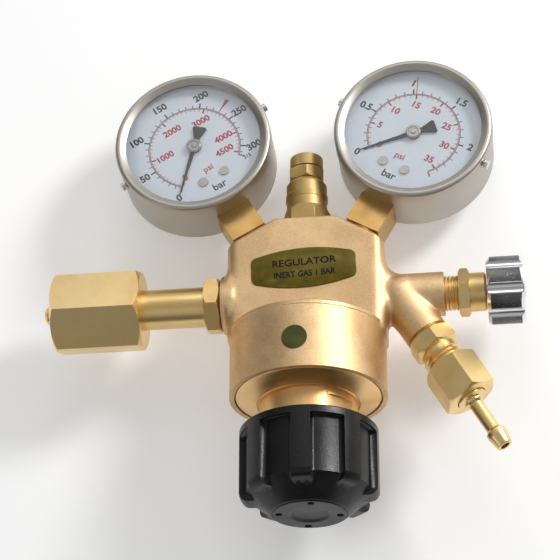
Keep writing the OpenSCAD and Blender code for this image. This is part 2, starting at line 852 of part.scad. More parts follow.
module gauge_case(side) {
    low = gauge_back;
    color("silver") gauge_at(side) difference() {
        revolve([
            [0, low], [case_r - 1.5, low], [case_r, low + 1.5], [case_r, bezel_z - 0.2],
            [rim_r, bezel_z - 0.2], [rim_r, case_rim_z], [rim_r - case_wall, case_rim_z],
            [rim_r - case_wall, bezel_z - 1.2], [case_r - case_wall, bezel_z - 1.2],
            [case_r - case_wall, low + 2], [case_r - case_wall - 1, low + case_wall],
            [0, low + case_wall]
        ]);
        stem_bar(stem_flats + 2 * slide_gap, case_r - 4, case_r + 2);
        translate([0, plug_y, 0]) rod(plug_r, low - 1, low + 3);
        for (a = [0, 180])
            rotate([0, 0, a]) translate([0, 0, bezel_z + 2]) on_x()
                rod(1, rim_r - 3, rim_r + 1);
    }
}

module gauge_bezel(side) {
    w = window_d / 2;
    top = gauge_front;
    inner = gauge_r - bezel_wall;
    color("lightgray") gauge_at(side) difference() {
        revolve([
            [inner, bezel_z], [gauge_r, bezel_z], [gauge_r, top - 1.2], [gauge_r - 0.4, top - 0.4],
            [gauge_r - 1.2, top], [w + 2.4, top], [w, top - 1.6], [w, case_rim_z + seal_t + glass_t],
            [inner, case_rim_z + seal_t + glass_t]
        ]);
        for (a = [0, 180])
            rotate([0, 0, a]) translate([0, 0, bezel_z + 2]) on_x()
                rod(1, gauge_r - 3, gauge_r + 1);
    }
}

module gauge_window(side) {
    color([0.8, 0.9, 1, 0.4]) gauge_at(side)
        rod(rim_r - 0.1, case_rim_z + seal_t, case_rim_z + seal_t + glass_t);
}

module gauge_window_seals() {
    color([0.1, 0.1, 0.1]) for (side = [-1, 1]) gauge_at(side)
        ring(rim_r - 0.1, rim_r - case_wall - 0.6, case_rim_z, case_rim_z + seal_t);
}

module gauge_dial(side) {
    color("white") gauge_at(side) difference() {
        rod(rim_r - case_wall - 0.2, dial_z, dial_z + dial_t);
        rod(arbor_r + 1, dial_z - 1, dial_z + 2);
        for (s = [-1, 1])
            translate([s * screw_pitch_x, screw_line_y, 0]) rod(0.8, dial_z - 1, dial_z + 2);
    }
}

module gauge_socket(side) {
    head_end = gauge_r - 4;
    neck_r = 6.9;
    color("goldenrod") gauge_at(side) difference() {
        union() {
            stem_bar(stem_flats, head_end, stem_len - 2.4);
            rotate([90, 0, 0]) {
                translate([0, 0, stem_len - 2.4]) cylinder(r1 = stem_flats / 2, r2 = neck_r, h = 1.4);
                rod(neck_r, stem_len - 1.2, stem_len);
                rod(port_thread_r, stem_len - 0.5, stem_len + port_thread_len - 1);
            }
            translate([-7, -head_end - 1, gauge_back + case_wall + open_gap])
                cube([14, head_end - 9, plate_low - gauge_back - case_wall - open_gap]);
        }
        bourdon_space();
        rotate([90, 0, 0]) rod(thin_drill_r, bourdon_r, stem_len + port_thread_len);
    }
}

// flattened tube section swept about the gauge centre
module bourdon_sweep(grow, start, sweep) {
    rotate([0, 0, start]) rotate_extrude(angle = sweep)
        translate([bourdon_r, 0]) square([2.6 + 2 * grow, 7.6 + 2 * grow], center = true);
}

module bourdon_space() { bourdon_sweep(0, -96, 40); }

module gauge_bourdon_tubes() {
    color("peru") for (side = [-1, 1]) gauge_at(side) difference() {
        bourdon_sweep(0, -95, 262);
        bourdon_sweep(-0.4, -94, 258);
    }
}

module gauge_frame(side) {
    top = plate_high + frame_t;
    color("gold") gauge_at(side) difference() {
        union() {
            translate([-9, sector_y - 5, plate_low]) cube([18, 5 + 6 - sector_y, frame_t]);
            translate([-9, sector_y - 5, plate_high]) cube([18, 5 + 6 - sector_y, frame_t]);
            for (p = [[7.5, sector_y - 3.5], [7.5, 4.5], [-7.5, 4.5]])
                translate(p) rod(1.2, plate_low + 0.5, plate_high + 0.5);
            for (s = [-1, 1])
                translate([s * screw_pitch_x, screw_line_y, 0]) rod(1.6, top - 0.5, dial_z);
        }
        rod(arbor_r + slide_gap, plate_low - 1, top + 1);
        translate([0, sector_y, 0]) rod(arbor_r + slide_gap, plate_low - 1, top + 1);
        for (s = [-1, 1])
            translate([s * screw_pitch_x, screw_line_y, 0]) rod(0.8, plate_high - 1, dial_z + 1);
    }
}

sector_low = plate_low + frame_t + 0.8;
link_z = sector_low + 1.5 + 0.2;

module gauge_sector(side) {
    mesh_gap = 0.15;
    reach = sector_r - mesh_gap;
    half = sector_swing / 2 + 8;
    rest = -sector_swing / 2;
    tail = sector_tail();
    color("gold") gauge_at(side) translate([0, sector_y, 0]) {
        rod(arbor_r, plate_low + 0.1, plate_high + frame_t - 0.1);
        translate([0, 0, sector_low]) linear_extrude(1.5) difference() {
            union() {
                circle(r = 2.6);
                polygon([
                    [0, 0], polar(reach + 2, 90 + rest - half), polar(reach + 4, 90 + rest),
                    polar(reach + 2, 90 + rest + half)
                ]);
                polygon([polar(2.4, 100), tail + [-0.5, 1.4], tail + [-0.5, -1.4], polar(2.4, 260)]);
                translate(tail) circle(r = 1.4);
            }
            difference() {
                circle(r = reach + 8);
                circle(r = reach);
            }
        }
        translate(tail) rod(0.6, sector_low + 1, link_z + 0.8);
    }
}

// link pin on the sector's tail, from the sector's arbor
function sector_tail() = polar(7, 200 - sector_swing / 2);

module gauge_link(side) {
    pin = [0, sector_y] + sector_tail();
    far = polar(bourdon_r, 164);
    bar = far - pin;
    color("gold") gauge_at(side) translate([pin[0], pin[1], link_z])
        rotate([0, 0, atan2(bar[1], bar[0])]) linear_extrude(0.8) difference() {
            union() {
                circle(r = 1.3);
                translate([norm(bar), 0]) circle(r = 1.3);
                translate([0, -0.7]) square([norm(bar), 1.4]);
            }
            circle(r = 0.6 + slide_gap);
            translate([norm(bar), 0]) circle(r = 0.6);
        }
}

module gauge_pinion(side) {
    color("gold") gauge_at(side) {
        rod(arbor_r, plate_low + 0.1, pointer_z + 0.4);
        rod(pinion_r, sector_low - 0.2, sector_low + 1.8);
    }
}

module gauge_hairsprings() {
    turns = 3;
    steps = 20;
    w = 0.12;
    from = pinion_r + 0.8;
    rise = 0.9 / steps;
    outer = [for (i = [0 : turns * steps]) polar(from + i * rise + w, i * 360 / steps)];
    inner = [for (i = [turns * steps : -1 : 0]) polar(from + i * rise - w, i * 360 / steps)];
    color("lightsteelblue") for (side = [-1, 1]) gauge_at(side) translate([0, 0, link_z + 1.2])
        linear_extrude(0.7) polygon(concat(outer, inner));
}

module gauge_pointer(side) {
    z = pointer_z;
    color([0.1, 0.1, 0.1]) gauge_at(side) rotate([0, 0, zero_angle]) difference() {
        union() {
            rod(3.1, z - 0.3, z + 1.1);
            translate([0, 0, z]) linear_extrude(0.5)
                polygon([
                    [pointer_len, 0.15], [8, 0.75], [0, 1.1], [-4, 1.2], [-9.3, 3.2], [-10.1, 2.6],
                    [-10.1, -2.6], [-9.3, -3.2], [-4, -1.2], [0, -1.1], [8, -0.75], [pointer_len, -0.15]
                ]);
        }
        rod(arbor_r, z - 1, z + 0.4);
    }
}

module gauge_dial_screws() {
    color("gold") for (side = [-1, 1]) gauge_at(side) for (s = [-1, 1])
        translate([s * screw_pitch_x, screw_line_y, 0]) {
            rod(0.8, plate_high + 0.2, dial_z + dial_t + 0.2);
            rod(dial_screw_r, dial_z + dial_t, dial_z + dial_t + 0.8);
        }
}

module gauge_bezel_screws() {
    color("gray") for (side = [-1, 1]) gauge_at(side) for (a = [0, 180])
        rotate([0, 0, a]) translate([0, 0, bezel_z + 2]) on_x() {
            rod(1, rim_r - case_wall - 0.1, gauge_r + bezel_screw_gap + 0.1);
            rod(bezel_screw_r, gauge_r + bezel_screw_gap, gauge_r + bezel_screw_gap + 1.5);
        }
}

module gauge_blowout_plugs() {
    color([0.15, 0.15, 0.15]) for (side = [-1, 1]) gauge_at(side) translate([0, plug_y, 0]) {
        rod(plug_r, gauge_back + 0.2, gauge_back + case_wall + 0.2);
        rod(plug_r + 1, gauge_back + case_wall, gauge_back + case_wall + 0.8);
    }
}

// ---- assembly ----

laid_down() regulator_body();
laid_down() bonnet();
laid_down() diaphragm();
laid_down() slip_ring();
laid_down() diaphragm_plate();
laid_down() main_spring();
laid_down() spring_button();
laid_down() adjusting_screw();
laid_down() knob();
laid_down() knob_cap();
laid_down() seat_nozzle();
laid_down() seat_disc();
laid_down() seat_valve();
laid_down() seat_spring();
laid_down() inlet_filter();
laid_down() inlet_nipple();
laid_down() inlet_nut();
laid_down() inlet_gasket();
laid_down() relief_body();
laid_down() relief_disc();
laid_down() relief_spring();
laid_down() relief_lock_ring();
laid_down() relief_cap();
laid_down() valve_body();
laid_down() valve_disc();
laid_down() valve_spindle();
laid_down() spindle_seal();
laid_down() valve_knob();
laid_down() valve_knob_screw();
laid_down() outlet_adapter();
laid_down() union_nut();
laid_down() hose_tail();
laid_down() name_plate();
laid_down() round_label();
laid_down() gauge_dial_screws();
laid_down() gauge_bezel_screws();
laid_down() gauge_blowout_plugs();
laid_down() gauge_window_seals();
laid_down() gauge_bourdon_tubes();
laid_down() gauge_hairsprings();
laid_down() gauge_case(-1);  // inlet_gauge_case
laid_down() gauge_bezel(-1);  // inlet_gauge_bezel
laid_down() gauge_window(-1);  // inlet_gauge_window
laid_down() gauge_dial(-1);  // inlet_gauge_dial
laid_down() gauge_socket(-1);  // inlet_gauge_socket
laid_down() gauge_frame(-1);  // inlet_gauge_frame
laid_down() gauge_sector(-1);  // inlet_gauge_sector
laid_down() gauge_link(-1);  // inlet_gauge_link
laid_down() gauge_pinion(-1);  // inlet_gauge_pinion
laid_down() gauge_pointer(-1);  // inlet_gauge_pointer
laid_down() gauge_case(1);  // outlet_gauge_case
laid_down() gauge_bezel(1);  // outlet_gauge_bezel
laid_down() gauge_window(1);  // outlet_gauge_window
laid_down() gauge_dial(1);  // outlet_gauge_dial
laid_down() gauge_socket(1);  // outlet_gauge_socket
laid_down() gauge_frame(1);  // outlet_gauge_frame
laid_down() gauge_sector(1);  // outlet_gauge_sector
laid_down() gauge_link(1);  // outlet_gauge_link
laid_down() gauge_pinion(1);  // outlet_gauge_pinion
laid_down() gauge_pointer(1);  // outlet_gauge_pointer
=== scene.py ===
import json
import math
import bpy
import bmesh
from mathutils import Matrix, Vector, Euler


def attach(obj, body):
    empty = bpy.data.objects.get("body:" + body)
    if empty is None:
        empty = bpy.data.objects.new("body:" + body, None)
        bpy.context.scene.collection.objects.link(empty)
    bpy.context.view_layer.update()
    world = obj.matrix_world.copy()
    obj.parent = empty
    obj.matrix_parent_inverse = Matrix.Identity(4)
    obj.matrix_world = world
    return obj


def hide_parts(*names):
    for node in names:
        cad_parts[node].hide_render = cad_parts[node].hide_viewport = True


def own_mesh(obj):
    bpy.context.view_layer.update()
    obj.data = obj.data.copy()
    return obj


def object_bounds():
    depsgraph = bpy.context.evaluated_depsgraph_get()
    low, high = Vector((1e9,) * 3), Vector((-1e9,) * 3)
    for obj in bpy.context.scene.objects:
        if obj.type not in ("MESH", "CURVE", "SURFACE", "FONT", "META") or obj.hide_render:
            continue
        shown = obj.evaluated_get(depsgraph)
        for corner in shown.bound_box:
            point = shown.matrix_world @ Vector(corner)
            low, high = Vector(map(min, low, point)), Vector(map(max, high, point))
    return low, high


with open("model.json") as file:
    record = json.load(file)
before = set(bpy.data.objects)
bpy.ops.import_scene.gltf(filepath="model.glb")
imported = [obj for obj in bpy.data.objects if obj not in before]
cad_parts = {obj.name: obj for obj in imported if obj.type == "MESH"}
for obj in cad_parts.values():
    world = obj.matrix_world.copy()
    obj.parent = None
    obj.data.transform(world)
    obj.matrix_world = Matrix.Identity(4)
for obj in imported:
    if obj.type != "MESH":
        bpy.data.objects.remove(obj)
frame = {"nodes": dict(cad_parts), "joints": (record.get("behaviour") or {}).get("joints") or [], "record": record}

cadLow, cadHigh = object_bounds()
mm = 0.001
nodes = frame["nodes"]
joints = {joint["name"]: joint for joint in frame["joints"]}
mounts = {mount["name"]: mount for mount in frame["record"]["mounts"]}


# ---- where things are: every matrix takes a piece's own millimetres to its place ----

def axesAt(origin, xAxis, yAxis, zAxis):
    turn = Matrix((xAxis, yAxis, zAxis)).transposed().to_4x4()
    return Matrix.Translation(origin) @ turn @ Matrix.Scale(mm, 4)


inletAxis = Vector(joints["nut_spin"]["axis"])
screwAxis = Vector(joints["knob_turn"]["axis"])
dialAxis = -Vector(joints["inlet_pointer_turn"]["axis"])
ports = axesAt(Vector(joints["knob_turn"]["pos_m"]), inletAxis, screwAxis, dialAxis)
alongInlet = ports @ Matrix.Rotation(math.pi / 2, 4, "Y")
alongScrew = ports @ Matrix.Rotation(-math.pi / 2, 4, "X")
outletAxis = Vector(mounts["hose_tail"]["axis"])
hoseEnd = Vector(mounts["hose_tail"]["pos_m"])
outletSlope = math.asin(outletAxis.dot(screwAxis))
outletReach = (ports.inverted() @ hoseEnd).y / math.sin(outletSlope)
outletFrom = ports.inverted() @ (hoseEnd - outletAxis * outletReach * mm)
alongOutlet = (ports @ Matrix.Translation(outletFrom) @ Matrix.Rotation(outletSlope, 4, "Z")
               @ Matrix.Rotation(math.pi / 2, 4, "Y"))
gaugeLean = math.radians(30)
sides = ((-1, "inlet"), (1, "outlet"))


def gaugeAt(side):
    name = dict(sides)[side]
    centre = ports.inverted() @ Vector(joints[name + "_pointer_turn"]["pos_m"])
    return ports @ Matrix.Translation(centre) @ Matrix.Rotation(-side * gaugeLean, 4, "Z")


print("stage: frame read")


# ---- shader helpers ----

class Wire:
    def __init__(self, shade, socket):
        self.shade = shade
        self.socket = socket

    def math(self, operation, a, b):
        return self.shade.node("ShaderNodeMath", {"operation": operation}, {0: a, 1: b})

    def __add__(self, other):
        return self.math("ADD", self, other)

    def __radd__(self, other):
        return self.math("ADD", other, self)

    def __sub__(self, other):
        return self.math("SUBTRACT", self, other)

    def __rsub__(self, other):
        return self.math("SUBTRACT", other, self)

    def __mul__(self, other):
        return self.math("MULTIPLY", self, other)

    def __rmul__(self, other):
        return self.math("MULTIPLY", other, self)

    def __pow__(self, other):
        return self.math("POWER", self, other)


class Shade:
    def __init__(self, name, kind=bpy.data.materials):
        self.owner = kind.new(name)
        self.owner.use_nodes = True
        self.tree = self.owner.node_tree
        self.tree.nodes.clear()

    def node(self, kind, settings=None, values=None, out=0):
        fresh = self.tree.nodes.new(kind)
        for key, value in (settings or {}).items():
            if key == "stops":
                ramp = fresh.color_ramp
                while len(ramp.elements) < len(value):
                    ramp.elements.new(0.5)
                for element, (place, colour) in zip(ramp.elements, value):
                    element.position = place
                    element.color = (*colour, 1)
            else:
                setattr(fresh, key, value)
        for key, value in (values or {}).items():
            socket = fresh.inputs[key]
            if isinstance(value, Wire):
                self.tree.links.new(value.socket, socket)
            else:
                socket.default_value = value
        return Wire(self, fresh.outputs[out] if len(fresh.outputs) else None)

    def local(self, place=None):
        # object coordinates, or a piece's own where it has a place
        point = self.node("ShaderNodeTexCoord", out=3)
        if place is None:
            return point
        back = place.inverted()
        return self.node("ShaderNodeMapping", {}, {
            "Vector": point, "Location": back.to_translation(), "Rotation": back.to_euler("XYZ"),
            "Scale": back.to_scale()})

    def noise(self, point, scale, detail=2, rough=0.5):
        return self.node("ShaderNodeTexNoise", {}, {
            "Vector": point, "Scale": scale, "Detail": detail, "Roughness": rough})

    def line(self, where, scale, detail=2):
        return self.node("ShaderNodeTexNoise", {"noise_dimensions": "1D"}, {
            "W": where, "Scale": scale, "Detail": detail})

    def parts(self, point):
        split = self.node("ShaderNodeSeparateXYZ", {}, {"Vector": point})
        outputs = split.socket.node.outputs
        return [Wire(self, outputs[i]) for i in range(3)]

    def radius(self, point):
        x, y, z = self.parts(point)
        return (x * x + y * y) ** 0.5, z

    def ramp(self, value, stops):
        return self.node("ShaderNodeValToRGB", {"stops": stops}, {"Fac": value})

    def spread(self, value, low, high, outLow=0.0, outHigh=1.0):
        return self.node("ShaderNodeMapRange", {}, {
            "Value": value, "From Min": low, "From Max": high, "To Min": outLow, "To Max": outHigh})

    def mixColour(self, amount, first, second):
        # the Mix node's colour sockets are inputs 6 and 7 and output 2
        first, second = (c if isinstance(c, Wire) else (*c, 1) for c in (first, second))
        values = {0: amount, 6: first, 7: second}
        return self.node("ShaderNodeMix", {"data_type": "RGBA"}, values, out=2)

    def bump(self, height, distance, strength=1.0, normal=None):
        values = {"Height": height, "Distance": distance, "Strength": strength}
        if normal is not None:
            values["Normal"] = normal
        return self.node("ShaderNodeBump", {}, values)

    def surface(self, **values):
        named = {key.replace("_", " "): value for key, value in values.items()}
        shader = self.node("ShaderNodeBsdfPrincipled", {}, named)
        self.node("ShaderNodeOutputMaterial", {}, {"Surface": shader})
        return self.owner


# ---- finishes ----

def castBrass(name="castBrass", tint=(0.78, 0.555, 0.31)):
    look = Shade(name)
    point = look.local()
    blotch = look.noise(point, scale=55, detail=3)
    grain = look.noise(point, scale=2600, detail=2, rough=0.6)
    pits = look.noise(point, scale=900, detail=3, rough=0.6)
    light = tuple(min(c * 1.12, 1) for c in tint)
    dark = tuple(c * f for c, f in zip(tint, (0.82, 0.76, 0.68)))
    colour = look.mixColour(look.spread(blotch, 0.35, 0.68), dark, light)
    colour = look.mixColour(look.spread(grain, 0.5, 0.78, 0, 0.5), colour, (1.0, 0.85, 0.62))
    deep = tuple(c * 0.55 for c in tint)
    colour = look.mixColour(look.spread(pits, 0.56, 0.74, 0, 0.4), colour, deep)
    rough = look.spread(blotch, 0.3, 0.7, 0.46, 0.56)
    fine = look.bump(grain, distance=0.00009, strength=0.7)
    return look.surface(Base_Color=colour, Metallic=1.0, Roughness=rough,
                        Normal=look.bump(pits, distance=0.00012, strength=0.35, normal=fine))


def turnedMetal(name, place, tint, rough, depth, pitch=5.0, stained=True):
    # fine tool marks run in rings about the piece's own axis
    look = Shade(name)
    point = look.local(place)
    radius, along = look.radius(point)
    track = radius + along * 0.73
    marks = look.line(track, scale=pitch, detail=3)
    broad = look.line(track, scale=pitch * 0.16, detail=2)
    cloud = look.noise(look.local(), scale=90, detail=3)
    dull = tuple(c * f for c, f in zip(tint, (0.85, 0.74, 0.55))) if stained else tint
    colour = look.mixColour(look.spread(cloud, 0.42, 0.72, 0, 0.55), tint, dull)
    roughness = look.spread(cloud, 0.3, 0.7, rough, rough + 0.09)
    grooves = look.bump(marks, distance=0.00003, strength=depth)
    ridges = look.bump(broad, distance=0.00006, strength=depth * 0.5, normal=grooves)
    return look.surface(Base_Color=colour, Metallic=1.0, Roughness=roughness, Normal=ridges)


def mouldedPlastic(name, tint, rough, grainDepth):
    look = Shade(name)
    point = look.local()
    grain = look.noise(point, scale=2200, detail=2, rough=0.6)
    dust = look.noise(point, scale=160, detail=4, rough=0.6)
    pale = tuple(c * 1.7 + 0.004 for c in tint)
    colour = look.mixColour(look.spread(dust, 0.5, 0.8, 0, 0.5), tint, pale)
    return look.surface(Base_Color=colour,
                        Roughness=look.spread(dust, 0.35, 0.7, rough, rough + 0.12),
                        Specular_IOR_Level=0.36,
                        Normal=look.bump(grain, distance=0.00007, strength=grainDepth))


def polishedChrome(name):
    look = Shade(name)
    haze = look.noise(look.local(), scale=220, detail=3)
    return look.surface(Base_Color=(0.80, 0.81, 0.83, 1), Metallic=1.0,
                        Roughness=look.spread(haze, 0.3, 0.75, 0.07, 0.17),
                        Normal=look.bump(haze, distance=0.0002, strength=0.08))


def etchedChrome(name):
    # the lands of the valve's knob: their dark colour is a painted dark reflection, with bright specks where the
    # plating is pitted
    look = Shade(name)
    specks = look.noise(look.local(), scale=1500, detail=2, rough=0.7)
    shade = look.noise(look.local(), scale=60, detail=1)
    colour = look.mixColour(look.spread(shade, 0.35, 0.65), (0.07, 0.07, 0.075),
                            (0.16, 0.155, 0.155))
    colour = look.mixColour(look.spread(specks, 0.62, 0.72, 0, 0.75), colour, (0.75, 0.74, 0.72))
    return look.surface(Base_Color=colour, Metallic=1.0,
                        Roughness=look.spread(specks, 0.4, 0.7, 0.3, 0.45),
                        Normal=look.bump(specks, distance=0.00008, strength=0.5))


def clearGlass(name):
    look = Shade(name)
    bend = look.node("ShaderNodeFresnel", {}, {"IOR": 1.5})
    smear = look.noise(look.local(), scale=45, detail=2)
    clear = look.node("ShaderNodeBsdfTransparent", {}, {"Color": (0.99, 0.995, 0.995, 1)})
    shine = look.node("ShaderNodeBsdfGlossy", {}, {
        "Color": (1, 1, 1, 1), "Roughness": look.spread(smear, 0.4, 0.7, 0.01, 0.05)})
    mixed = look.node("ShaderNodeMixShader", {}, {0: bend * 0.5, 1: clear, 2: shine})
    look.node("ShaderNodeOutputMaterial", {}, {"Surface": mixed})
    return look.owner


def printedPaint(name, tint, rough, speck=0.06, glow=0.0):
    look = Shade(name)
    cloud = look.noise(look.local(), scale=130, detail=3)
    fibre = look.noise(look.local(), scale=1800, detail=2)
    dull = tuple(c * (1 - speck) for c in tint)
    colour = look.mixColour(look.spread(cloud, 0.4, 0.7), tint, dull)
    return look.surface(Base_Color=colour,
                        Roughness=look.spread(cloud, 0.3, 0.7, rough, rough + 0.06),
                        Specular_IOR_Level=0.2, Emission_Color=(*tint, 1), Emission_Strength=glow,
                        Normal=look.bump(fibre, distance=0.00002, strength=0.25))


def oliveFoil(name, place):
    # a worn gold-green foil: it is lighter where the light has bleached it
    look = Shade(name)
    point = look.local(place)
    cloud = look.noise(point, scale=0.16, detail=4, rough=0.6)
    scuff = look.noise(point, scale=2.2, detail=3, rough=0.7)
    colour = look.ramp(cloud, [(0.3, (0.085, 0.064, 0.004)), (0.55, (0.13, 0.095, 0.006)),
                               (0.75, (0.20, 0.15, 0.020))])
    colour = look.mixColour(look.spread(scuff, 0.62, 0.8, 0, 0.4), colour, (0.42, 0.33, 0.10))
    return look.surface(Base_Color=colour, Metallic=0.3, Specular_IOR_Level=0.3,
                        Roughness=look.spread(scuff, 0.3, 0.7, 0.34, 0.48),
                        Normal=look.bump(scuff, distance=0.00004, strength=0.3))


def woundWire(name, tint):
    look = Shade(name)
    cloud = look.noise(look.local(), scale=600, detail=2)
    return look.surface(Base_Color=(*tint, 1), Metallic=1.0,
                        Roughness=look.spread(cloud, 0.3, 0.7, 0.25, 0.4))


yellowTint = (0.86, 0.66, 0.30)
finishes = {
    "cast": castBrass(),
    "nut": turnedMetal("nutBrass", alongInlet, (0.95, 0.71, 0.35), rough=0.28, depth=0.45),
    "inlet": turnedMetal("nippleBrass", alongInlet, (0.88, 0.63, 0.28), rough=0.28, depth=0.5),
    "valve": turnedMetal("valveBrass", alongInlet, (0.80, 0.58, 0.27), rough=0.32, depth=0.5),
    "bonnet": turnedMetal("bonnetBrass", alongScrew, (0.94, 0.63, 0.29), rough=0.34, depth=1.0),
    "relief": turnedMetal("reliefBrass", alongScrew, (0.56, 0.40, 0.17), rough=0.50, depth=0.6),
    "outlet": turnedMetal("outletBrass", alongOutlet, (0.88, 0.65, 0.30), rough=0.27, depth=0.45),
    "movement": turnedMetal("movementBrass", alongScrew, yellowTint, rough=0.35, depth=0.2),
    "bright": turnedMetal("turnedSteel", alongScrew, (0.66, 0.66, 0.67), rough=0.25, depth=0.4,
                          stained=False),
    "plastic": mouldedPlastic("knobPlastic", (0.0035, 0.0035, 0.0037), rough=0.27, grainDepth=0.9),
    "hub": turnedMetal("hubSteel", alongScrew, (0.34, 0.32, 0.29), rough=0.3, depth=0.2,
                       stained=False),
    # painted dark reflection for the lands of the valve's knob
    "land": etchedChrome("landDarkReflection"),
    "rubber": mouldedPlastic("sealRubber", (0.02, 0.02, 0.02), rough=0.6, grainDepth=0.2),
    "nylon": mouldedPlastic("seatNylon", (0.78, 0.76, 0.70), rough=0.4, grainDepth=0.1),
    "fibre": mouldedPlastic("gasketFibre", (0.32, 0.05, 0.025), rough=0.6, grainDepth=0.6),
    "bronze": castBrass("filterBronze", (0.48, 0.31, 0.17)),
    "chrome": polishedChrome("valveChrome"),
    "glass": clearGlass("windowGlass"),
    # the dial's glow is painted light: the dial gives off a little light of its own
    "dial": printedPaint("dialWhite", (0.66, 0.70, 0.77), rough=0.42, speck=0.03, glow=0.12),
    "black": printedPaint("printBlack", (0.004, 0.004, 0.005), rough=0.5),
    "red": printedPaint("printRed", (0.52, 0.022, 0.025), rough=0.5),
    "olive": oliveFoil("plateFoil", ports),
    "green": printedPaint("labelGreen", (0.075, 0.078, 0.016), rough=0.32, speck=0.4),
    "wire": woundWire("springWire", (0.45, 0.46, 0.48)),
}
for side, name in sides:
    finishes["steel", side] = turnedMetal(
        "gaugeSteel" + name.capitalize(), gaugeAt(side), (0.47, 0.44, 0.395), rough=0.36,
        depth=0.35, pitch=4.0, stained=False)
    finishes["socket", side] = turnedMetal(
        "socketBrass" + name.capitalize(), gaugeAt(side), (0.62, 0.39, 0.14), rough=0.3,
        depth=0.35, pitch=3.0)

nodeFinish = {
    "bonnet": "bonnet", "slip_ring": "bonnet", "seat_nozzle": "bonnet", "diaphragm": "rubber",
    "diaphragm_plate": "bright", "spring_button": "bright", "adjusting_screw": "bright",
    "main_spring": "wire", "seat_spring": "wire", "relief_spring": "wire", "gauge_hairsprings": "wire",
    "knob": "plastic", "knob_cap": "plastic", "seat_disc": "nylon", "valve_disc": "nylon",
    "seat_valve": "bright", "inlet_filter": "bronze", "inlet_nipple": "inlet", "inlet_nut": "nut",
    "inlet_gasket": "fibre", "relief_body": "relief", "relief_disc": "rubber",
    "relief_lock_ring": "relief", "relief_cap": "relief", "valve_body": "valve",
    "valve_spindle": "bright", "spindle_seal": "rubber", "valve_knob": "chrome",
    "valve_knob_screw": "bright", "outlet_adapter": "outlet", "union_nut": "outlet",
    "hose_tail": "outlet", "name_plate": "olive", "round_label": "green",
    "gauge_dial_screws": "hub", "gauge_bezel_screws": "bright", "gauge_blowout_plugs": "rubber",
    "gauge_window_seals": "rubber", "gauge_bourdon_tubes": "movement", "regulator_body": "cast",
}
gaugeFinish = {"case": "steel", "bezel": "steel", "window": "glass", "dial": "dial", "socket": "socket",
               "frame": "movement", "sector": "movement", "link": "movement", "pinion": "bright",
               "pointer": "black"}
for side, name in sides:
    for piece, finish in gaugeFinish.items():
        own = (finish, side) in finishes
        nodeFinish[f"{name}_gauge_{piece}"] = (finish, side) if own else finish
for name, finish in nodeFinish.items():
    nodes[name].data.materials.clear()
    nodes[name].data.materials.append(finishes[finish])
print("stage: finishes made")


# ---- shared shape helpers ----

def linked(bm, name):
    mesh = bpy.data.meshes.new(name)
    bm.to_mesh(mesh)
    bm.free()
    thing = bpy.data.objects.new(name, mesh)
    bpy.context.scene.collection.objects.link(thing)
    return thing


def made(bm, name, place, finish, body="regulator", replaces=(), sharp=32):
    # a visible piece: its mesh moves to its place, and it rides on a body
    bmesh.ops.transform(bm, matrix=place, verts=bm.verts)
    piece = linked(bm, name)
    piece.data.shade_smooth()
    piece.data.set_sharp_from_angle(angle=math.radians(sharp))
    piece.data.materials.append(finishes[finish])
    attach(piece, body)
    if replaces:
        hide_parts(*replaces)
    return piece


def meshToBm(mesh):
    bm = bmesh.new()
    bm.from_mesh(mesh)
    return bm


def placed(bm, build, place):
    # adds a shape to bm, built about its own axes and then moved
    part = bmesh.new()
    build(part)
    bmesh.ops.transform(part, matrix=place, verts=part.verts)
    mesh = bpy.data.meshes.new("part")
    part.to_mesh(mesh)
    part.free()
    bm.from_mesh(mesh)
    bpy.data.meshes.remove(mesh)


def applied(source, name, modifiers):
    for kind, settings in modifiers:
        modifier = source.modifiers.new(kind, kind)
        for key, value in settings.items():
            setattr(modifier, key, value)
    view = bpy.context.evaluated_depsgraph_get()
    mesh = bpy.data.meshes.new_from_object(source.evaluated_get(view))
    mesh.name = name
    bpy.data.objects.remove(source)
    return mesh


def rounded(bm, edges, width, segments=5):
    bmesh.ops.bevel(bm, geom=edges, offset=width, offset_type="OFFSET", segments=segments,
                    profile=0.5, affect="EDGES", clamp_overlap=True, material=-1)


weld = 0.0005


def spun(bm, profile, steps=128, closed=False):
    # a profile of (radius, height) points turned about local Z
    verts = [bm.verts.new((r, 0, z)) for r, z in profile]
    ends = list(zip(verts, verts[1:])) + ([(verts[-1], verts[0])] if closed else [])
    edges = [bm.edges.new(pair) for pair in ends]
    bmesh.ops.spin(bm, geom=verts + edges, cent=(0, 0, 0), axis=(0, 0, 1), dvec=(0, 0, 0),
                   angle=2 * math.pi, steps=steps, use_merge=True, use_duplicate=False)
    bmesh.ops.remove_doubles(bm, verts=bm.verts, dist=weld)
    bmesh.ops.recalc_face_normals(bm, faces=bm.faces)


def arc(centre, radius, start, end, count=6):
    steps = [math.radians(start + (end - start) * i / count) for i in range(count + 1)]
    return [(centre[0] + radius * math.cos(a), centre[1] + radius * math.sin(a)) for a in steps]


def slab(bm, outline, low, high):
    face = bm.faces.new([bm.verts.new((x, y, low)) for x, y in outline])
    grown = bmesh.ops.extrude_face_region(bm, geom=[face])["geom"]
    lifted = [g for g in grown if isinstance(g, bmesh.types.BMVert)]
    bmesh.ops.translate(bm, vec=(0, 0, high - low), verts=lifted)
    bmesh.ops.recalc_face_normals(bm, faces=bm.faces)


def brick(bm, size, place):
    bmesh.ops.create_cube(bm, size=1, matrix=place @ Matrix.Diagonal((*size, 1)))


def rodShape(radius, low, high, steps=64):
    return lambda bm: spun(bm, [(0, low), (radius, low), (radius, high), (0, high)], steps)


# ---- machined pieces with broken edges ----

softening = dict(weld=2e-6, flat=0.6, corner=28)


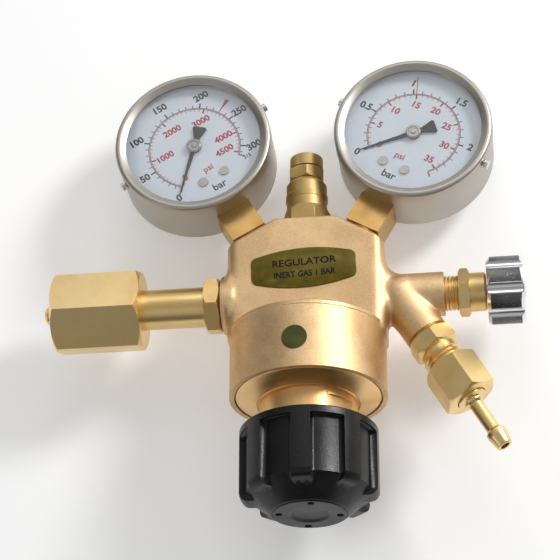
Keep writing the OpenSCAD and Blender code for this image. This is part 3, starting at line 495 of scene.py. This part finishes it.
def softened(node, width, body):
    bm = meshToBm(nodes[node].data)
    bmesh.ops.remove_doubles(bm, verts=bm.verts, dist=softening["weld"])
    bmesh.ops.dissolve_limit(bm, angle_limit=math.radians(softening["flat"]), verts=bm.verts,
                             edges=bm.edges, use_dissolve_boundaries=False, delimit=set())
    sharp = [e for e in bm.edges if len(e.link_faces) == 2 and e.is_convex
             and e.calc_face_angle(0) > math.radians(softening["corner"])]
    rounded(bm, sharp, width * mm, segments=2)
    bmesh.ops.triangulate(bm, faces=[f for f in bm.faces if len(f.verts) > 4])
    words = node.split("_")
    name = words[0] + "".join(word.capitalize() for word in words[1:]) + "Soft"
    piece = made(bm, name, Matrix(), nodeFinish[node], body, [node])
    piece.modifiers.new("shading", "WEIGHTED_NORMAL").keep_sharp = True
    return piece


def darkenLands(piece, rim=0.975, upright=0.97, tilt=0.2):
    # the faces on the outermost round of the valve's knob, which take the painted dark reflection
    piece.data.materials.append(finishes["land"])
    back = alongInlet.inverted()
    turn = back.to_3x3()
    spots = [(face, (back @ face.center).xy, (turn @ face.normal).xy.normalized())
             for face in piece.data.polygons]
    outer = max(spot.length for face, spot, normal in spots)
    for face, spot, normal in spots:
        level = abs(face.normal.dot(inletAxis)) < tilt
        if level and spot.length > outer * rim and normal.dot(spot.normalized()) > upright:
            face.material_index = 1


softEdges = {
    "inlet_nut": (0.35, "swivel_nut", "turned_brass"),
    "inlet_nipple": (0.2, "regulator", "turned_brass"),
    "relief_body": (0.25, "regulator", "turned_brass"),
    "relief_lock_ring": (0.25, "regulator", "turned_brass"),
    "relief_cap": (0.2, "regulator", "turned_brass"),
    "valve_body": (0.25, "regulator", "turned_brass"),
    "outlet_adapter": (0.25, "regulator", "turned_brass"),
    "union_nut": (0.3, "regulator", "turned_brass"),
    "hose_tail": (0.15, "regulator", "turned_brass"),
    "inlet_gauge_socket": (0.4, "regulator", "turned_brass"),
    "outlet_gauge_socket": (0.4, "regulator", "turned_brass"),
    "valve_knob": (0.45, "valve_handle", "chrome"),
    "knob": (0.5, "pressure_knob", "black_plastic"),
    "knob_cap": (0.3, "pressure_knob", "black_plastic"),
}
for node, (width, body, slot) in softEdges.items():
    piece = softened(node, width, body)
    # the valve knob's lands get a painted dark reflection
    if node == "valve_knob":
        darkenLands(piece)
print("stage: machined pieces softened")


# ---- cast body ----

bodyShape = dict(
    half=33.5, flat=12.8, top=35.2, corner=23.25, low=-20, front=11.5, back=13, edge=4.5, topEdge=2.2,
    housing=33, housingTop=-16, housingEnd=-45.4, shoulder=7, inletRadius=12.3, inletEnd=-36,
    valveRadius=9.4, valveEnd=58, outletRadius=9.25, outletEnd=21.8, rootRadius=10.5, rootLength=15,
    spare=2, voxel=0.75, smooth=9)


def roundedRim(bm, width, chosen):
    # rounds the edges of the block's front and back faces whose ends are both chosen
    depths = (bodyShape["front"], -bodyShape["back"])
    edges = [e for e in bm.edges if all(chosen(v) for v in e.verts)
             and any(all(abs(v.co.z - depth) < 0.01 for v in e.verts) for depth in depths)]
    rounded(bm, edges, width)


def flare(bm, radius, wide, long, start, steps=48, rows=8, fade=1.6, buried=5):
    # a hollow fillet about local Z, full size above and below the axis and none in front
    loops = []
    for j in range(rows + 1):
        turn = math.pi / 2 * j / rows
        loop = []
        for i in range(steps):
            angle = 2 * math.pi * i / steps
            share = abs(math.sin(angle)) ** fade
            reach = radius + wide * share * (1 - math.sin(turn))
            loop.append(bm.verts.new((reach * math.cos(angle), reach * math.sin(angle),
                                      start + long * (1 - math.cos(turn)))))
        loops.append(loop)
    inner = [bm.verts.new((v.co.x, v.co.y, start - math.copysign(buried, long))) for v in loops[0]]
    loops.insert(0, inner)
    for near, far in zip(loops, loops[1:]):
        for i in range(steps):
            k = (i + 1) % steps
            bm.faces.new((near[i], near[k], far[k], far[i]))
    bm.faces.new(loops[0][::-1])
    bm.faces.new(loops[-1])
    bmesh.ops.recalc_face_normals(bm, faces=bm.faces)


def bodyBores(s, toX, toY, toOutlet):
    # name: (axis, radius, low, high), cut in this order
    inlet, valve, outlet, mouth = s["inletEnd"], s["valveEnd"], s["outletEnd"], s["housingEnd"]
    bores = {
        "springRoom": (toY, 29, -60, -27), "diaphragmRoom": (toY, 25, -28, -21),
        "seatRoom": (toY, 7, -27.5, 5), "reliefPort": (toY, 6.5, 24.2, 50),
        "mouthFace": (toY, 60, mouth - 20, mouth), "bonnetGap": (toY, 30.95, mouth - 9, mouth + 1.6),
        "topFace": (toY, 40, s["top"], s["top"] + 9),
        "inletPort": (toX, 6.5, -60, inlet + 12), "inletPassage": (toX, 2.5, -40, -6),
        "inletFace": (toX, 20, inlet - 9, inlet),
        "valvePort": (toX, 7, 48, 70), "valveSeat": (toX, 4.5, 36, 50),
        "valvePassage": (toX, 1.5, 12, 38), "valveFace": (toX, 20, valve, valve + 9),
        "outletPort": (toOutlet, 5.5, outlet - 9, outlet + 3),
        "outletPassage": (toOutlet, 2, 0, outlet), "outletFace": (toOutlet, 12, outlet, outlet + 8),
    }
    for side, name in sides:
        stem = ports.inverted() @ gaugeAt(side) @ Matrix.Rotation(math.pi / 2, 4, "X")
        bores[name + "StemPort"] = (stem, 6.4, 48.4, 60.4)
        bores[name + "StemFace"] = (stem, 12.5, 40, 49.4)
    return bores


def castBody():
    s = bodyShape
    unit = ports.inverted()
    toX, toY, toOutlet = unit @ alongInlet, unit @ alongScrew, unit @ alongOutlet
    across = (toX.inverted().to_3x3() @ Vector((0, 1, 0))).xy
    quarter = Matrix.Rotation(math.atan2(across.y, across.x) - math.pi / 2, 4, "Z")
    bm = bmesh.new()
    slab(bm, [(-s["half"], s["low"]), (s["half"], s["low"]), (s["half"], s["corner"]),
              (s["flat"], s["top"]), (-s["flat"], s["top"]), (-s["half"], s["corner"])],
         -s["back"], s["front"])
    roundedRim(bm, s["edge"], lambda v: abs(v.co.x) > s["half"] - 0.1)
    roundedRim(bm, s["topEdge"], lambda v: v.co.y > s["corner"] - 0.1)
    foot = s["housingEnd"] - s["spare"]
    housing = [(0, foot), (s["housing"], foot), (s["housing"], s["housingTop"] - 0.4),
               (s["housing"] - s["shoulder"], s["housingTop"] + 1.6), (17, -7), (0, -7)]
    root = [(0, -4), (s["rootRadius"] - 1, -4), (s["rootRadius"], 0),
            (s["outletRadius"], s["rootLength"]), (0, s["rootLength"])]
    placed(bm, lambda b: spun(b, housing), toY)
    placed(bm, rodShape(s["inletRadius"], s["inletEnd"] - s["spare"], 3 - s["half"]), toX)
    placed(bm, lambda b: flare(b, s["inletRadius"] - 1, 6, -2.6, -s["half"]), toX @ quarter)
    placed(bm, lambda b: flare(b, s["valveRadius"] - 0.3, 8, 9, s["half"]), toX @ quarter)
    placed(bm, rodShape(s["valveRadius"], 26, s["valveEnd"] + s["spare"]), toX)
    placed(bm, rodShape(s["outletRadius"], 0, s["outletEnd"] + s["spare"]), toOutlet)
    placed(bm, lambda b: spun(b, root, 64), toOutlet)
    cast = applied(linked(bm, "castRaw"), "castSmooth", [
        ("REMESH", {"mode": "VOXEL", "voxel_size": s["voxel"]}),
        ("SMOOTH", {"factor": 0.5, "iterations": s["smooth"]})])

    cutters = []
    for name, (place, radius, low, high) in bodyBores(s, toX, toY, toOutlet).items():
        cutter = bmesh.new()
        placed(cutter, rodShape(radius, low, high), place)
        cutters.append(linked(cutter, name + "Cutter"))
    mesh = applied(linked(meshToBm(cast), "castWhole"), "castCut", [
        ("BOOLEAN", {"operation": "DIFFERENCE", "solver": "MANIFOLD", "object": cutter})
        for cutter in cutters])
    for cutter in cutters:
        bpy.data.objects.remove(cutter)
    made(meshToBm(mesh), "castBody", ports, "cast", replaces=["regulator_body"],
         sharp=38)


castBody()
print("stage: body cast")


# ---- springs, each remade as a coil piece of its own ----

springJoints = {"main_spring": "knob_advance", "relief_spring": "relief_opening",
                "seat_spring": "seat_lift"}
springSlack = 0.15


def springCoil(node, joint):
    bm = meshToBm(nodes[node].data)
    along = [vert.co.dot(screwAxis) for vert in bm.verts]
    travel = max(abs(limit) for limit in joints[joint]["range_m"]) + springSlack * mm
    piece = made(bm, node.replace("_spring", "Coil"), Matrix(), "wire", replaces=[node])
    1 - travel / (max(along) - min(along))
    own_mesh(piece)


for node, joint in springJoints.items():
    springCoil(node, joint)
print("stage: springs wound")


# ---- housing lip ----

def housingLip():
    # the crisp edge where the turned housing meets the cast shoulder
    s = bodyShape
    r, y = s["housing"], s["housingTop"]
    bm = bmesh.new()
    spun(bm, [(r - 1.6, y - 1.6), (r - 0.1, y - 1.6), (r + 0.12, y - 1.3), (r + 0.12, y + 0.1),
              (r - 0.25, y + 0.45), (r - 1.6, y + 0.3)], 192, closed=True)
    made(bm, "housingLip", alongScrew, "cast", sharp=25)


housingLip()


# ---- bonnet ----

bonnetShape = dict(
    wall=30.35, mouth=-45.4, rise=3, neck=20.3, neckEnd=-72.4, bore=5.05, room=15.9, roof=6, skirt=-29.2,
    inner=25, flat=19.2, flatTurn=47, flatTop=-51.4, flatDepth=9)


def bonnet():
    s = bonnetShape
    foot = s["mouth"] - s["rise"]
    roof = s["neckEnd"] + s["roof"]
    profile = [(s["inner"], s["skirt"]), (s["wall"], s["skirt"]), (s["wall"], s["mouth"] + 0.7)]
    profile += arc((s["wall"] - 0.5, s["mouth"] + 0.6), 0.5, 0, -80, 4)
    profile += [(s["neck"] + 1.3, foot + 0.22), (s["neck"] + 1.2, foot + 0.75),
                (s["neck"] + 0.15, foot + 0.75), (s["neck"], foot + 0.6)]
    profile += arc((s["neck"] - 0.8, s["neckEnd"] + 0.8), 0.8, 0, -90, 5)
    profile += [(s["bore"], s["neckEnd"]), (s["bore"], roof), (s["room"], roof),
                (s["room"], foot + 4), (s["inner"], foot + 9)]
    bm = bmesh.new()
    spun(bm, profile, 160, closed=True)
    blank = linked(bm, "bonnetBlank")
    cutter = bmesh.new()
    length = s["flatTop"] - s["neckEnd"] + 2
    middle = Vector((s["flat"] + s["flatDepth"] / 2, 0, s["flatTop"] - length / 2))
    for turn in (s["flatTurn"], s["flatTurn"] + 180):
        place = Matrix.Rotation(math.radians(turn - 90), 4, "Z") @ Matrix.Translation(middle)
        brick(cutter, (s["flatDepth"], 60, length), place)
    cutter = linked(cutter, "bonnetCutter")
    mesh = applied(blank, "bonnetCut", [
        ("BOOLEAN", {"operation": "DIFFERENCE", "solver": "MANIFOLD", "object": cutter})])
    bpy.data.objects.remove(cutter)
    made(meshToBm(mesh), "bonnetTurned", alongScrew, "bonnet", replaces=["bonnet"],
         sharp=25)


bonnet()
print("stage: bonnet turned")


# ---- threads and knurls ----

def threadRidges(name, place, finish, radius, depth, low, high, pitch):
    turns = round((high - low) / pitch)
    profile = [(radius - depth - 1, low), (radius - depth, low)]
    for i in range(turns):
        start = low + i * (high - low) / turns
        profile += [(radius, start + pitch * 0.42), (radius, start + pitch * 0.58),
                    (radius - depth, start + pitch)]
    profile[-1] = (radius - depth, high)
    profile.append((radius - depth - 1, high))
    bm = bmesh.new()
    spun(bm, profile, 96, closed=True)
    made(bm, name, place, finish, sharp=25)


threadRidges("outletThread", alongOutlet, "outlet",
             radius=8.6, depth=0.75, low=33.0, high=38.5, pitch=1.75)
threadRidges("valveThread", alongInlet, "valve",
             radius=7.5, depth=0.6, low=58.05, high=63.95, pitch=1.6)

knurl = dict(count=64, radius=8.86, height=49.0, bar=(0.5, 0.42, 2.4))


def reliefKnurl():
    bm = bmesh.new()
    spot = Matrix.Translation((knurl["radius"], 0, knurl["height"]))
    for i in range(knurl["count"]):
        brick(bm, knurl["bar"], Matrix.Rotation(2 * math.pi * i / knurl["count"], 4, "Z") @ spot)
    made(bm, "reliefKnurl", alongScrew, "relief")


reliefKnurl()
print("stage: threads and knurls made")


# ---- gauges ----

gaugeShape = dict(radius=34.2, front=18.5, bezelLow=11.0, window=29.5, glassTop=16.9, dialFace=12.3)
bezelShape = dict(wall=1.0, corner=1.5, slope=2.3, edge=0.25, flank=0.12, step=1.35, lip=1.6)


def bezel(side, name):
    s, b = gaugeShape, bezelShape
    r, top = s["radius"], s["front"]
    profile = [(r - b["wall"], s["bezelLow"]), (r - b["edge"], s["bezelLow"]),
               (r, s["bezelLow"] + b["edge"])]
    profile += arc((r - b["corner"], top - b["corner"]), b["corner"], 0, 90, 7)
    profile += [(s["window"] + b["slope"] + 0.35, top), (s["window"] + b["slope"], top - b["flank"]),
                (s["window"] + 0.3, top - b["step"]), (s["window"], top - b["lip"]),
                (s["window"], s["glassTop"]), (r - b["wall"], s["glassTop"])]
    bm = bmesh.new()
    spun(bm, profile, 160, closed=True)
    made(bm, name + "Bezel", gaugeAt(side), ("steel", side),
         replaces=[f"{name}_gauge_bezel"], sharp=24)


# ticks are (length, width), and lettering is (size, weight)
printShape = dict(
    zero=226, sweep=270, ink=0.03, lift=0.04, blackArc=20.2, blackWidth=0.26, redArc=19.7, redWidth=0.28,
    minor=(1.5, 0.3), last=(2.4, 0.5), major=(2.4, 0.62), psiMinor=(1.2, 0.24), psiMajor=(2.1, 0.7),
    number=(4.5, 0.15), numberRadius=25.6, redNumber=(4.2, 0.13), redNumberRadius=14.6,
    psi=(4.2, 0.05), psiAt=-12.4, bar=(4.8, 0.08), barAt=-22.6, end=(2.4, 0.05), endRadius=24.0,
    markEnd=29.0, markWidth=0.32, wedge=((20.8, 0), (27.5, -0.9), (27.5, 0.9)))
printHeight = gaugeShape["dialFace"] + printShape["lift"]


def atAngle(value, full):
    return math.radians(printShape["zero"] - printShape["sweep"] * value / full)


def onDial(reach, angle=0.0):
    return Matrix.Translation((reach * math.cos(angle), reach * math.sin(angle), printHeight))


def tick(bm, angle, near, far, width):
    place = Matrix.Rotation(angle, 4, "Z") @ onDial((near + far) / 2)
    brick(bm, (far - near, width, 2 * printShape["ink"]), place)


def band(bm, radius, width, full):
    # a thin printed arc from zero to the end of the scale
    start, end = atAngle(full, full), atAngle(0, full)
    ink, half = printShape["ink"], width / 2
    verts = [bm.verts.new((radius + x, 0, printHeight + z))
             for x, z in ((-half, -ink), (half, -ink), (half, ink), (-half, ink))]
    face = bm.faces.new(verts)
    bmesh.ops.rotate(bm, verts=verts, cent=(0, 0, 0), matrix=Matrix.Rotation(start, 3, "Z"))
    copy = bmesh.ops.duplicate(bm, geom=[face])["geom"]
    bmesh.ops.spin(bm, geom=[g for g in copy if isinstance(g, bmesh.types.BMFace)],
                   cent=(0, 0, 0), axis=(0, 0, 1), dvec=(0, 0, 0), angle=end - start, steps=90,
                   use_merge=False, use_duplicate=False)
    bmesh.ops.remove_doubles(bm, verts=bm.verts, dist=weld)
    bmesh.ops.recalc_face_normals(bm, faces=bm.faces)


def lettering(bm, words, look, place):
    curve = bpy.data.curves.new("lettering", "FONT")
    curve.body = words
    curve.size, curve.offset = look
    curve.align_x = "CENTER"
    curve.align_y = "CENTER"
    curve.extrude = printShape["ink"]
    curve.resolution_u = 3
    thing = bpy.data.objects.new("lettering", curve)
    bpy.context.scene.collection.objects.link(thing)
    view = bpy.context.evaluated_depsgraph_get()
    mesh = bpy.data.meshes.new_from_object(thing.evaluated_get(view))
    mesh.transform(place)
    bm.from_mesh(mesh)
    bpy.data.objects.remove(thing)
    bpy.data.meshes.remove(mesh)


scales = {
    "inlet": dict(full=315, minor=10, major=50, labels=[0, 50, 100, 150, 200, 250, 300],
                  psiMinor=100, psiMajor=[0, 1000, 2000, 3000, 4000, 4500], psiEnd=4500,
                  mark=None, wedge=230, end="315"),
    "outlet": dict(full=2.5, minor=0.1, major=0.5, labels=[0, 0.5, 1, 1.5, 2],
                   psiMinor=1, psiMajor=[0, 5, 10, 15, 20, 25, 30, 35], psiEnd=35,
                   mark=15, wedge=None, end=None),
}
psiPerBar = 14.504


def blackPrint(bm, scale):
    s, full = printShape, scale["full"]
    outward = s["blackArc"]
    band(bm, outward, s["blackWidth"], full)
    for i in range(round(full / scale["minor"]) + 1):
        value = i * scale["minor"]
        share = value / scale["major"]
        if value <= full + 1e-6 and abs(share - round(share)) > 0.01:
            tick(bm, atAngle(value, full), outward, outward + s["minor"][0], s["minor"][1])
    tick(bm, atAngle(full, full), outward, outward + s["last"][0], s["last"][1])
    for value in scale["labels"]:
        angle = atAngle(value, full)
        tick(bm, angle, outward, outward + s["major"][0], s["major"][1])
        reach = s["numberRadius"] + (0.6 if value >= 100 else 0)
        lettering(bm, f"{value:g}", s["number"], onDial(reach, angle))
    lettering(bm, "bar", s["bar"], Matrix.Translation((0, s["barAt"], printHeight)))
    if scale["end"]:
        lettering(bm, scale["end"], s["end"], onDial(s["endRadius"], atAngle(full, full)))


def redPrint(bm, scale):
    s, full = printShape, scale["full"]
    inward = s["redArc"]
    band(bm, inward, s["redWidth"], full)
    for i in range(round(scale["psiEnd"] / scale["psiMinor"]) + 1):
        angle = atAngle(i * scale["psiMinor"] / psiPerBar, full)
        tick(bm, angle, inward - s["psiMinor"][0], inward, s["psiMinor"][1])
    for value in scale["psiMajor"]:
        angle = atAngle(value / psiPerBar, full)
        tick(bm, angle, inward - s["psiMajor"][0], inward, s["psiMajor"][1])
        reach = s["redNumberRadius"] - (1.1 if value >= 1000 else 0) + (0.8 if value < 10 else 0)
        lettering(bm, str(value), s["redNumber"], onDial(reach, angle))
    lettering(bm, "psi", s["psi"], Matrix.Translation((0, s["psiAt"], printHeight)))
    if scale["mark"]:
        tick(bm, atAngle(scale["mark"] / psiPerBar, full), inward, s["markEnd"], s["markWidth"])
    if scale["wedge"]:
        placed(bm, lambda b: slab(b, s["wedge"], printHeight - s["ink"], printHeight + s["ink"]),
               Matrix.Rotation(atAngle(scale["wedge"], full), 4, "Z"))


def dialPrint(side, name):
    for colour, ink, build in (("Black", "black", blackPrint), ("Red", "red", redPrint)):
        bm = bmesh.new()
        build(bm, scales[name])
        made(bm, f"{name}Dial{colour}", gaugeAt(side), ink)


hubShape = dict(lift=1.75, radius=3.3, wall=0.35, corner=0.5, dish=(1.3, 0.45), rim=(2.1, 0.5),
                pin=(1.15, 0.8), tip=0.95)


def hubCap(side, name):
    h = hubShape
    low = gaugeShape["dialFace"] + h["lift"]
    inner = h["radius"] - h["corner"]
    profile = [(0, low), (h["radius"], low), (h["radius"], low + h["wall"])]
    profile += arc((inner, low + h["wall"]), h["corner"], 0, 90, 4)
    profile += [(inner - h["corner"], low + h["wall"] + h["corner"])]
    crown = (h["rim"], h["dish"], h["pin"], (0, h["tip"]))
    profile += [(radius, low + height) for radius, height in crown]
    bm = bmesh.new()
    spun(bm, profile, 64)
    made(bm, name + "HubCap", gaugeAt(side), "hub", name + "_hand")


for side, name in sides:
    bezel(side, name)
    dialPrint(side, name)
    hubCap(side, name)
print("stage: gauges dressed")


# ---- name plate ----

plateShape = dict(
    centre=(-0.5, 10.2), turn=2.5, seat=11.4, face=12.0, half=22.3, middle=9.4, end=5.7, corner=2.0,
    edge=0.25, steps=12)
# words: (text, (size, weight), width, where)
plateWords = (("REGULATOR", (4.4, 0.09), 1.08, (0.3, 2.5, 0)),
              ("INERT GAS 1 BAR", (3.9, 0.09), 0.86, (0.3, -3.1, 0)))


def onPlate(height):
    turn = Matrix.Rotation(math.radians(plateShape["turn"]), 4, "Z")
    return Matrix.Translation((*plateShape["centre"], height)) @ turn


def namePlate():
    s = plateShape
    sag = s["middle"] - s["end"]
    bow = (s["half"] ** 2 + sag ** 2) / 2 / sag
    steps = [s["half"] * (i / s["steps"] - 1) for i in range(2 * s["steps"] + 1)]
    upper = [(x, s["middle"] - bow + math.sqrt(bow * bow - x * x)) for x in steps]
    bm = bmesh.new()
    slab(bm, upper + [(x, -y) for x, y in reversed(upper)], s["seat"], s["face"])
    corners = [e for e in bm.edges if all(abs(v.co.x) > s["half"] - 0.01 for v in e.verts)
               and e.verts[0].co.z != e.verts[1].co.z]
    rounded(bm, corners, s["corner"])
    rim = [e for e in bm.edges if all(v.co.z > s["face"] - 0.01 for v in e.verts)]
    rounded(bm, rim, s["edge"], segments=2)
    made(bm, "plateFoil", ports @ onPlate(0), "olive", replaces=["name_plate"])


def namePlateWords():
    bm = bmesh.new()
    for words, look, width, where in plateWords:
        stretch = Matrix.Translation(where) @ Matrix.Diagonal((width, 1, 1, 1))
        lettering(bm, words, look, onPlate(plateShape["face"] + 0.02) @ stretch)
    made(bm, "plateWords", ports, "black")


namePlate()
namePlateWords()
print("stage: name plate lettered")


# ---- room: floor, light and camera ----

room = dict(
    floor=(0.86, 0.86, 0.86), floorSize=6, floorGlow=0.29, sky=0.50, wall=1.1,
    levels=[(0.0, 0.9), (0.06, 0.12), (0.44, 0.24), (0.60, 0.62), (0.76, 0.9), (0.93, 1.0),
            (0.985, 0.62)])
lamps = {
    "key": dict(place=(1.16, 0.84, 0.80), size=0.38, power=17.0),
    "top": dict(place=(0.10, 1.10, 0.98), size=0.6, power=1.8),
    "fill": dict(place=(-0.75, -0.65, 0.55), size=0.5, power=1.0)}
cameraSet = dict(place=(0.19758, -0.25367, 0.90089), turn=(16.0635, 6.6983, -1.4643), lens=142.414)


def floor():
    bm = bmesh.new()
    bmesh.ops.create_grid(bm, x_segments=1, y_segments=1, size=room["floorSize"],
                          matrix=Matrix.Translation((0.1, 0, cadLow.z)))
    look = Shade("floorPaint")
    paper = look.noise(look.local(), scale=30, detail=2)
    dull = tuple(c * 0.985 for c in room["floor"])
    thing = linked(bm, "floor")
    thing.data.materials.append(look.surface(
        Base_Color=look.mixColour(paper, room["floor"], dull), Roughness=0.7,
        Emission_Color=(1, 1, 1, 1), Emission_Strength=room["floorGlow"]))


def lights():
    aim = (cadLow + cadHigh) / 2
    for name, settings in lamps.items():
        lamp = bpy.data.lights.new(name, "AREA")
        lamp.size = settings["size"]
        lamp.energy = settings["power"]
        thing = bpy.data.objects.new(name, lamp)
        thing.location = settings["place"]
        thing.rotation_euler = (aim - thing.location).to_track_quat("-Z", "Y").to_euler()
        bpy.context.scene.collection.objects.link(thing)


def sky():
    # the sky's level changes with height, and a bright wall stands beyond the gauges
    look = Shade("studio", bpy.data.worlds)
    x, y, z = look.parts(look.node("ShaderNodeTexCoord"))
    level = look.ramp(z, [(place, (value, value, value)) for place, value in room["levels"]])
    wall = look.spread(y, 0.35, 0.8, 0.0, room["wall"])
    strength = level.math("MAXIMUM", level, wall) * room["sky"]
    back = look.node("ShaderNodeBackground", {}, {"Color": (1, 1, 1, 1), "Strength": strength})
    look.node("ShaderNodeOutputWorld", {}, {"Surface": back})
    bpy.context.scene.world = look.owner


def camera():
    lens = bpy.data.cameras.new("camera")
    lens.lens = cameraSet["lens"]
    lens.sensor_width = 36
    lens.clip_start = 0.05
    lens.clip_end = 20
    thing = bpy.data.objects.new("camera", lens)
    thing.location = cameraSet["place"]
    thing.rotation_euler = Euler([math.radians(a) for a in cameraSet["turn"]], "XYZ")
    bpy.context.scene.collection.objects.link(thing)
    bpy.context.scene.camera = thing


floor()
lights()
sky()
camera()
bpy.context.scene.view_settings.view_transform = "Standard"
print("stage: room lit")
